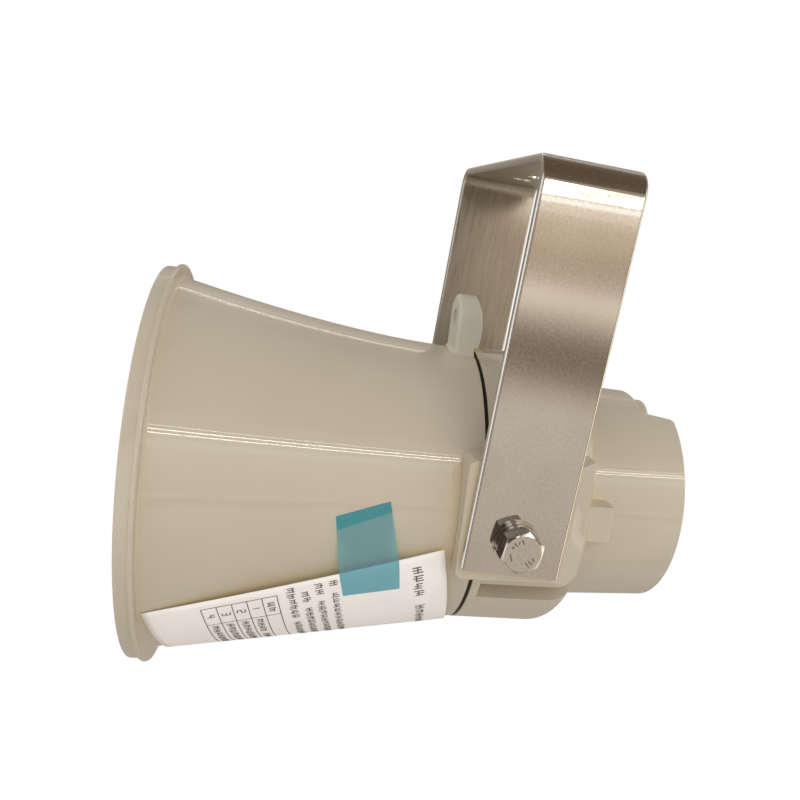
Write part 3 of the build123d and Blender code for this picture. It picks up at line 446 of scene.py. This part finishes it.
def make_print(material):
    """Greyed lines, a ruled table and the row numbers 1 to 4, as thin marks on the paper."""
    points, faces = [], []

    def mark(s0, t0, s1, t1, width):
        """A straight mark between two points of the sheet, split so that it follows the curve."""
        a, b = Vector((s0, t0)), Vector((s1, t1))
        run = b - a
        side = Vector((-run.y, run.x)).normalized() * width / 2
        steps = max(1, math.ceil(run.length / 2.5))
        first = len(points)
        for n in range(steps + 1):
            p = a + run * n / steps
            points.append(on_sheet(*(p + side), PRINT_LIFT))
            points.append(on_sheet(*(p - side), PRINT_LIFT))
        for n in range(steps):
            k = first + 2 * n
            faces.append((k, k + 2, k + 3, k + 1))

    def cells(s, t_from, t_to, size):
        """A greyed line of print: square cells, each with a few short bars."""
        t = t_from
        while t + size <= t_to:
            if random.random() < 0.93:
                for n in range(3):
                    start = s - size / 2 + random.uniform(0.0, 0.25) * size
                    stop = s + size / 2 - random.uniform(0.0, 0.25) * size
                    at_t = t + size * (0.16 + 0.30 * n)
                    mark(start, at_t, stop, at_t, size * 0.13)
                across = s + random.uniform(-0.3, 0.3) * size
                mark(across, t + size * 0.1, across, t + size * 0.86, size * 0.12)
            t += size

    # Heading in two groups, then four lines of text
    large, small = 3.9, 3.1
    cells(91.6, 4.2, 22.0, large)
    cells(91.6, 25.5, 96.0, large)
    for s, start in ((62.6, 2.0), (57.6, 2.0), (52.9, 1.6), (48.1, 1.4)):
        cells(s, start, 140.0, small)

    # Ruled table of five rows, with a narrow first column
    left, right, top, bottom, split = 18.4, 43.5, 4.0, 143.0, 14.6
    rows, rule = 5, 0.3
    for n in range(rows + 1):
        s = left + (right - left) * n / rows
        mark(s, top, s, bottom, rule)
    for t in (top, split, bottom):
        mark(left, t, right, t, rule)
    pitch = (right - left) / rows
    for n, stop in enumerate((118.0, 74.0, 96.0, 110.0)):
        cells(left + pitch * (n + 0.5), split + 1.2, stop, small)
    cells(right - pitch / 2, top + 2.6, split - 1.0, small)

    # Row numbers 1 to 4, as strokes
    strokes = (
        ((0, 0.6, 2.6, 0.6),),
        ((0, 0.1, 0, 1.2), (0, 1.2, 1.3, 1.2), (1.3, 1.2, 1.3, 0.1), (1.3, 0.1, 2.6, 0.1),
         (2.6, 0.1, 2.6, 1.2)),
        ((0, 0.1, 0, 1.2), (1.3, 0.3, 1.3, 1.2), (2.6, 0.1, 2.6, 1.2), (0, 1.2, 2.6, 1.2)),
        ((0, 0.1, 1.4, 0.1), (1.4, 0.1, 1.4, 1.3), (0, 1.0, 2.6, 1.0)),
    )
    digit_t, digit_width = 8.0, 1.4
    for n, lines in enumerate(strokes, 1):
        top_s = right - pitch * n - 1.2
        for s0, t0, s1, t1 in lines:
            mark(top_s - s0, digit_t + t0 * digit_width, top_s - s1, digit_t + t1 * digit_width, 0.4)
    return add_mesh("slip_print", points, faces, material, smooth=False)


# Bars on a bolt head: angle round the head, length, and turn from the outward line
BARS = ((100, 1.5, 20), (118, 1.0, -30), (136, 1.5, 10), (154, 0.9, 60), (196, 1.3, 80), (212, 1.3, 80),
        (300, 1.9, 15), (318, 1.9, 15), (336, 1.2, -40))
BAR_RING, BAR_HALF_WIDTH = 4.1, 0.24
BAR_FOOT, BAR_TOP, BAR_TAPER = -0.1, 0.26, 0.6


def make_bolt_marks(material):
    """Short raised bars round each bolt head, as on any graded bolt, with no letters among them."""
    low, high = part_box("pivot_bolts")
    points, faces = [], []
    for side, face in ((-1, low[1]), (1, high[1])):
        for deg, length, turn in BARS:
            a, b = math.radians(deg), math.radians(deg + turn)
            centre = Vector((BAR_RING * math.cos(a), 0, BAR_RING * math.sin(a) - PIVOT_DROP)) * MM
            along = Vector((math.cos(b), 0, math.sin(b))) * length / 2 * MM
            across = Vector((-math.sin(b), 0, math.cos(b))) * BAR_HALF_WIDTH * MM
            first = len(points)
            for lift, inset in ((BAR_FOOT, 1.0), (BAR_TOP, BAR_TAPER)):
                for i, j in ((-1, -1), (1, -1), (1, 1), (-1, 1)):
                    p = centre + along * i * (0.85 + 0.15 * inset) + across * j * inset
                    points.append(Vector((p.x, face + side * lift * MM, p.z)))
            ring = [first + n for n in range(8)]
            faces.append((ring[4], ring[5], ring[6], ring[7]))
            for n in range(4):
                k = (n + 1) % 4
                faces.append((ring[n], ring[k], ring[k + 4], ring[n + 4]))
    return add_mesh("bolt_marks", points, faces, material, smooth=False)


# Studio: white all round, a pale floor, and soft light that is strongest near the horizon
GLOW_BELOW, GLOW_ABOVE = 3.5, 0.22      # the world's light straight down and straight up


def add_world():
    world = bpy.data.worlds.new("studio")
    bpy.context.scene.world = world
    t = Tree(world, "ShaderNodeOutputWorld")
    light = t.add("ShaderNodeBackground")
    light.inputs[0].default_value = (1.0, 0.985, 0.96, 1)
    split = t.add("ShaderNodeSeparateXYZ")
    t.join(t.add("ShaderNodeTexCoord").outputs["Generated"], split.inputs[0])
    t.join(t.grey(split.outputs["Z"], GLOW_BELOW, GLOW_ABOVE, -1.0, 1.0), light.inputs[1])
    white = t.add("ShaderNodeBackground")
    white.inputs[0].default_value = (1, 1, 1, 1)
    white.inputs[1].default_value = 1.0
    path = t.add("ShaderNodeLightPath")
    seen = t.math("MAXIMUM", path.outputs["Is Camera Ray"], path.outputs["Is Transmission Ray"])
    t.mix_shader(t.math("MAXIMUM", seen, path.outputs["Is Glossy Ray"]), light, white)


# Floor: 0.94 of what the camera sees is plain white, and the rest takes the object's shadow. Gloss
# doesn't mirror it: the dome that add_room makes has the floor's tones too.
FLOOR_Z, FLOOR_HALF = -0.75, 12.0


def add_floor():
    m = Mat("floor")
    shader = m.principled(Roughness=0.9)
    shader.inputs["Base Color"].default_value = (0.72, 0.71, 0.69, 1)
    white = m.add("ShaderNodeEmission")
    white.inputs[1].default_value = 1.03
    path = m.add("ShaderNodeLightPath")
    seen = m.math("MAXIMUM", path.outputs["Is Camera Ray"], path.outputs["Is Glossy Ray"])
    m.mix_shader(m.math("MULTIPLY", seen, 0.94), shader, white)
    corners = [(-FLOOR_HALF, -FLOOR_HALF, FLOOR_Z), (FLOOR_HALF, -FLOOR_HALF, FLOOR_Z),
               (FLOOR_HALF, FLOOR_HALF, FLOOR_Z), (-FLOOR_HALF, FLOOR_HALF, FLOOR_Z)]
    floor = add_mesh("floor", corners, [(0, 1, 2, 3)], m.mat, smooth=False)
    floor.visible_glossy = False


# What gloss mirrors: colour of the room by height, in degrees above the horizon, with three lamps
LAMP, DIM_LAMP = (17, 16, 14.4), (9, 8.4, 7.6)
ROOM = (
    (-90, (0.45, 0.39, 0.32)), (-60, (0.52, 0.46, 0.38)), (-30, (0.62, 0.54, 0.46)),
    (-20, (0.68, 0.60, 0.51)), (-14, (0.76, 0.69, 0.60)), (-10.6, (0.77, 0.69, 0.59)),
    (-9.3, (0.64, 0.54, 0.45)), (-8.3, (0.42, 0.34, 0.27)), (-7.2, (0.31, 0.24, 0.18)),
    (-5.8, (0.31, 0.25, 0.18)), (-4.9, (0.44, 0.35, 0.28)), (-3.8, (0.76, 0.65, 0.54)),
    (-2.8, (1.06, 0.93, 0.81)), (-2.0, (1.10, 0.97, 0.83)), (-1.2, (0.78, 0.66, 0.53)),
    (-0.5, (0.69, 0.56, 0.44)), (0.4, (0.66, 0.53, 0.40)), (1.6, (0.72, 0.59, 0.43)),
    (3, (0.78, 0.64, 0.48)), (11, (0.86, 0.72, 0.55)), (11.5, (0.92, 0.78, 0.61)),
    (15.4, (0.97, 0.83, 0.66)), (15.8, (1.07, 0.92, 0.76)), (23.6, (1.22, 1.08, 0.92)),
    (24.4, (1.64, 1.55, 1.42)), (28.0, (1.70, 1.63, 1.52)), (29.6, (1.22, 1.08, 0.88)),
    (31.7, (1.35, 1.22, 1.0)), (31.75, LAMP), (32.15, LAMP), (32.2, (1.0, 0.9, 0.7)),
    (33.9, (1.0, 0.9, 0.7)), (33.95, LAMP), (34.35, LAMP), (34.4, (0.5, 0.4, 0.3)),
    (36.2, (0.5, 0.4, 0.3)), (36.25, DIM_LAMP), (36.5, DIM_LAMP), (36.55, (0.62, 0.54, 0.44)),
    (44, (0.5, 0.43, 0.35)), (46, (0.20, 0.155, 0.11)), (60, (0.17, 0.126, 0.085)),
    (90, (0.14, 0.105, 0.075)))

# The same by compass, in degrees from the horn's axis: how much of the room above shows, and what
# else does. Equal neighbours are there to keep the dome round.
ROUND = (
    (-180, 0, (1.3, 1.28, 1.24)), (-150, 0, (1.25, 1.22, 1.17)), (-128, 0, (1.25, 1.22, 1.17)),
    (-124, 0, (0.11, 0.08, 0.07)), (-106, 0, (0.12, 0.08, 0.07)), (-104, 0.3, (1.1, 1.1, 1.12)),
    (-96, 0.3, (1.1, 1.1, 1.12)), (-94, 0.1, (0.14, 0.10, 0.08)), (-84, 0.2, (0.14, 0.10, 0.08)),
    (-79, 1, (0, 0, 0)), (-72, 1, (0, 0, 0)), (-64, 1, (0, 0, 0)), (-56, 1, (0, 0, 0)),
    (-48, 1, (0, 0, 0)), (-42, 1, (0, 0, 0)), (-36, 0, (0.16, 0.11, 0.07)),
    (-22, 0, (0.16, 0.11, 0.07)), (-18, 0, (1.9, 1.72, 1.42)), (6, 0, (1.9, 1.72, 1.42)),
    (12, 0, (0.8, 0.7, 0.56)), (26, 0, (0.5, 0.44, 0.36)), (45, 0.12, (0.34, 0.30, 0.25)),
    (60, 0.12, (0.30, 0.26, 0.22)), (75, 0.12, (0.30, 0.26, 0.22)), (79, 0.35, (0.20, 0.17, 0.14)),
    (93, 0.35, (0.20, 0.17, 0.14)), (98, 0.12, (0.28, 0.25, 0.22)), (105, 0.12, (0.28, 0.25, 0.22)),
    (120, 0.12, (0.28, 0.26, 0.23)), (135, 0, (0.28, 0.26, 0.24)), (160, 0, (0.30, 0.29, 0.27)),
    (176, 0, (0.5, 0.5, 0.5)), (180, 0, (1.3, 1.28, 1.24)))


ROOM_RADIUS, ROOM_Z = 3.0, -0.09
ROOM_MIDDLE, ROOM_SPAN, ROOM_FADE = 5, 30, 15    # where the compass counts, and how it fades out


def add_room():
    """A dome that only gloss sees. Its corners carry the room's tones as light."""
    m = Mat("room_dome")
    glow = m.add("ShaderNodeEmission")
    tone = m.add("ShaderNodeVertexColor", layer_name="tone")
    m.join(tone.outputs[0], glow.inputs[0])
    level = m.add("ShaderNodeAttribute", attribute_name="level")
    m.join(level.outputs["Fac"], glow.inputs[1])
    m.join(glow.outputs[0], m.out.inputs[0])
    points, faces, tones, levels = [], [], [], []
    for el, high in ROOM:
        e = math.radians(el)
        plain_share = max(0.0, min(1.0, (abs(el - ROOM_MIDDLE) - ROOM_SPAN) / ROOM_FADE))
        for az, share, other in ROUND:
            a = math.radians(az)
            points.append((ROOM_RADIUS * math.cos(e) * math.cos(a), ROOM_RADIUS * math.cos(e) * math.sin(a),
                           ROOM_Z + ROOM_RADIUS * math.sin(e)))
            share += (1 - share) * plain_share
            colour = [share * h + (1 - share) * o for h, o in zip(high, other)]
            peak = max(colour)
            tones += [c / peak for c in colour] + [1.0]
            levels.append(peak)
    columns = len(ROUND)
    for j in range(len(ROOM) - 1):
        for i in range(columns - 1):
            k = j * columns + i
            faces.append((k, k + 1, k + columns + 1, k + columns))
    dome = add_mesh("room_dome", points, faces, m.mat)
    dome.data.color_attributes.new("tone", "FLOAT_COLOR", "POINT").data.foreach_set("color", tones)
    dome.data.attributes.new("level", "FLOAT", "POINT").data.foreach_set("value", levels)
    dome.visible_camera = False
    dome.visible_diffuse = False
    dome.visible_shadow = False
    dome.visible_transmission = False


# Key light: one soft panel above the camera, which gloss doesn't mirror
KEY_PLACE, KEY_AIM = Vector((0.05, -0.99, 0.87)), Vector((-0.04, 0, -0.12))
KEY_SIDE, KEY_POWER = 0.9, 4.1


def add_key():
    data = bpy.data.lights.new("key", "AREA")
    data.shape = "RECTANGLE"
    data.size = data.size_y = KEY_SIDE
    data.energy = KEY_POWER
    data.color = (1, 0.97, 0.93)
    key = bpy.data.objects.new("key", data)
    bpy.context.collection.objects.link(key)
    key.location = KEY_PLACE
    key.rotation_euler = (KEY_AIM - KEY_PLACE).to_track_quat("-Z", "Y").to_euler()
    key.visible_glossy = False


# Plain materials: name, two tones, roughness, grain scale, share of metal, and the nodes they dress
PLAIN = (
    ("seal_rubber", (0.004, 0.004, 0.004), (0.010, 0.010, 0.010), 0.6, 400, 0, "seal_ring"),
    ("dark_plastic", (0.012, 0.012, 0.013), (0.03, 0.03, 0.032), 0.4, 400, 0,
     "gland_nut", "phase_plug", "surround_ring"),
    ("cast_alloy", (0.45, 0.45, 0.46), (0.6, 0.6, 0.61), 0.45, 500, 1, "driver_plate"),
    ("plated_steel", (0.55, 0.55, 0.53), (0.68, 0.68, 0.66), 0.3, 700, 1,
     "top_plate", "back_plate", "transformer_strap"),
    ("film", (0.45, 0.20, 0.03), (0.55, 0.27, 0.05), 0.25, 400, 0,
     "diaphragm", "surround", "voice_coil_former"),
    ("copper", (0.48, 0.16, 0.06), (0.62, 0.24, 0.10), 0.3, 900, 1, "voice_coil"),
    ("ferrite", (0.015, 0.015, 0.016), (0.035, 0.035, 0.037), 0.55, 400, 0, "magnet"),
    ("laminations", (0.10, 0.095, 0.09), (0.19, 0.18, 0.17), 0.5, 800, 0.8, "transformer_core"),
    ("winding_tape", (0.50, 0.36, 0.04), (0.62, 0.46, 0.07), 0.35, 400, 0, "transformer_winding"),
    ("terminal_plastic", (0.55, 0.53, 0.47), (0.66, 0.63, 0.57), 0.35, 400, 0, "terminal_block"),
)

add_camera()
dress(horn_plastic("horn_plastic", (0.480, 0.421, 0.336), (0.508, 0.449, 0.362), 0.75),
      "bell", "rear_housing", "cable_gland", "inner_horn", "reflector")
# The lug's copy of the horn plastic is lighter and cooler: painted sheen for its glossy, translucent look,
# with a weaker painted glow in its corners
dress(horn_plastic("lug_plastic_painted_sheen", (0.505, 0.468, 0.390), (0.535, 0.498, 0.420), 0.35), "safety_lug")
dress(stainless(), "bracket")
dress(bright_steel(), "pivot_bolts", "spring_washers", "plain_washers", "pivot_nuts", "housing_screws",
      "horn_screws", "driver_screws", "plate_screws", "reflector_screw", "strap_screws")
for name, low, high, rough, scale, metallic, *dressed in PLAIN:
    dress(plain(name, low, high, rough, scale, metallic), *dressed)
dress(tape(), "tape")

slip = make_slip(paper())
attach(slip, "horn")
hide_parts("notice_sheet")
marks = make_print(ink())
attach(marks, "horn")
bars = make_bolt_marks(plain("mark_steel", (0.20, 0.185, 0.165), (0.32, 0.30, 0.27), 0.25, 900.0, 1.0))
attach(bars, "horn")

add_world()
add_floor()
add_room()
add_key()

bpy.context.scene.view_settings.view_transform = "Standard"
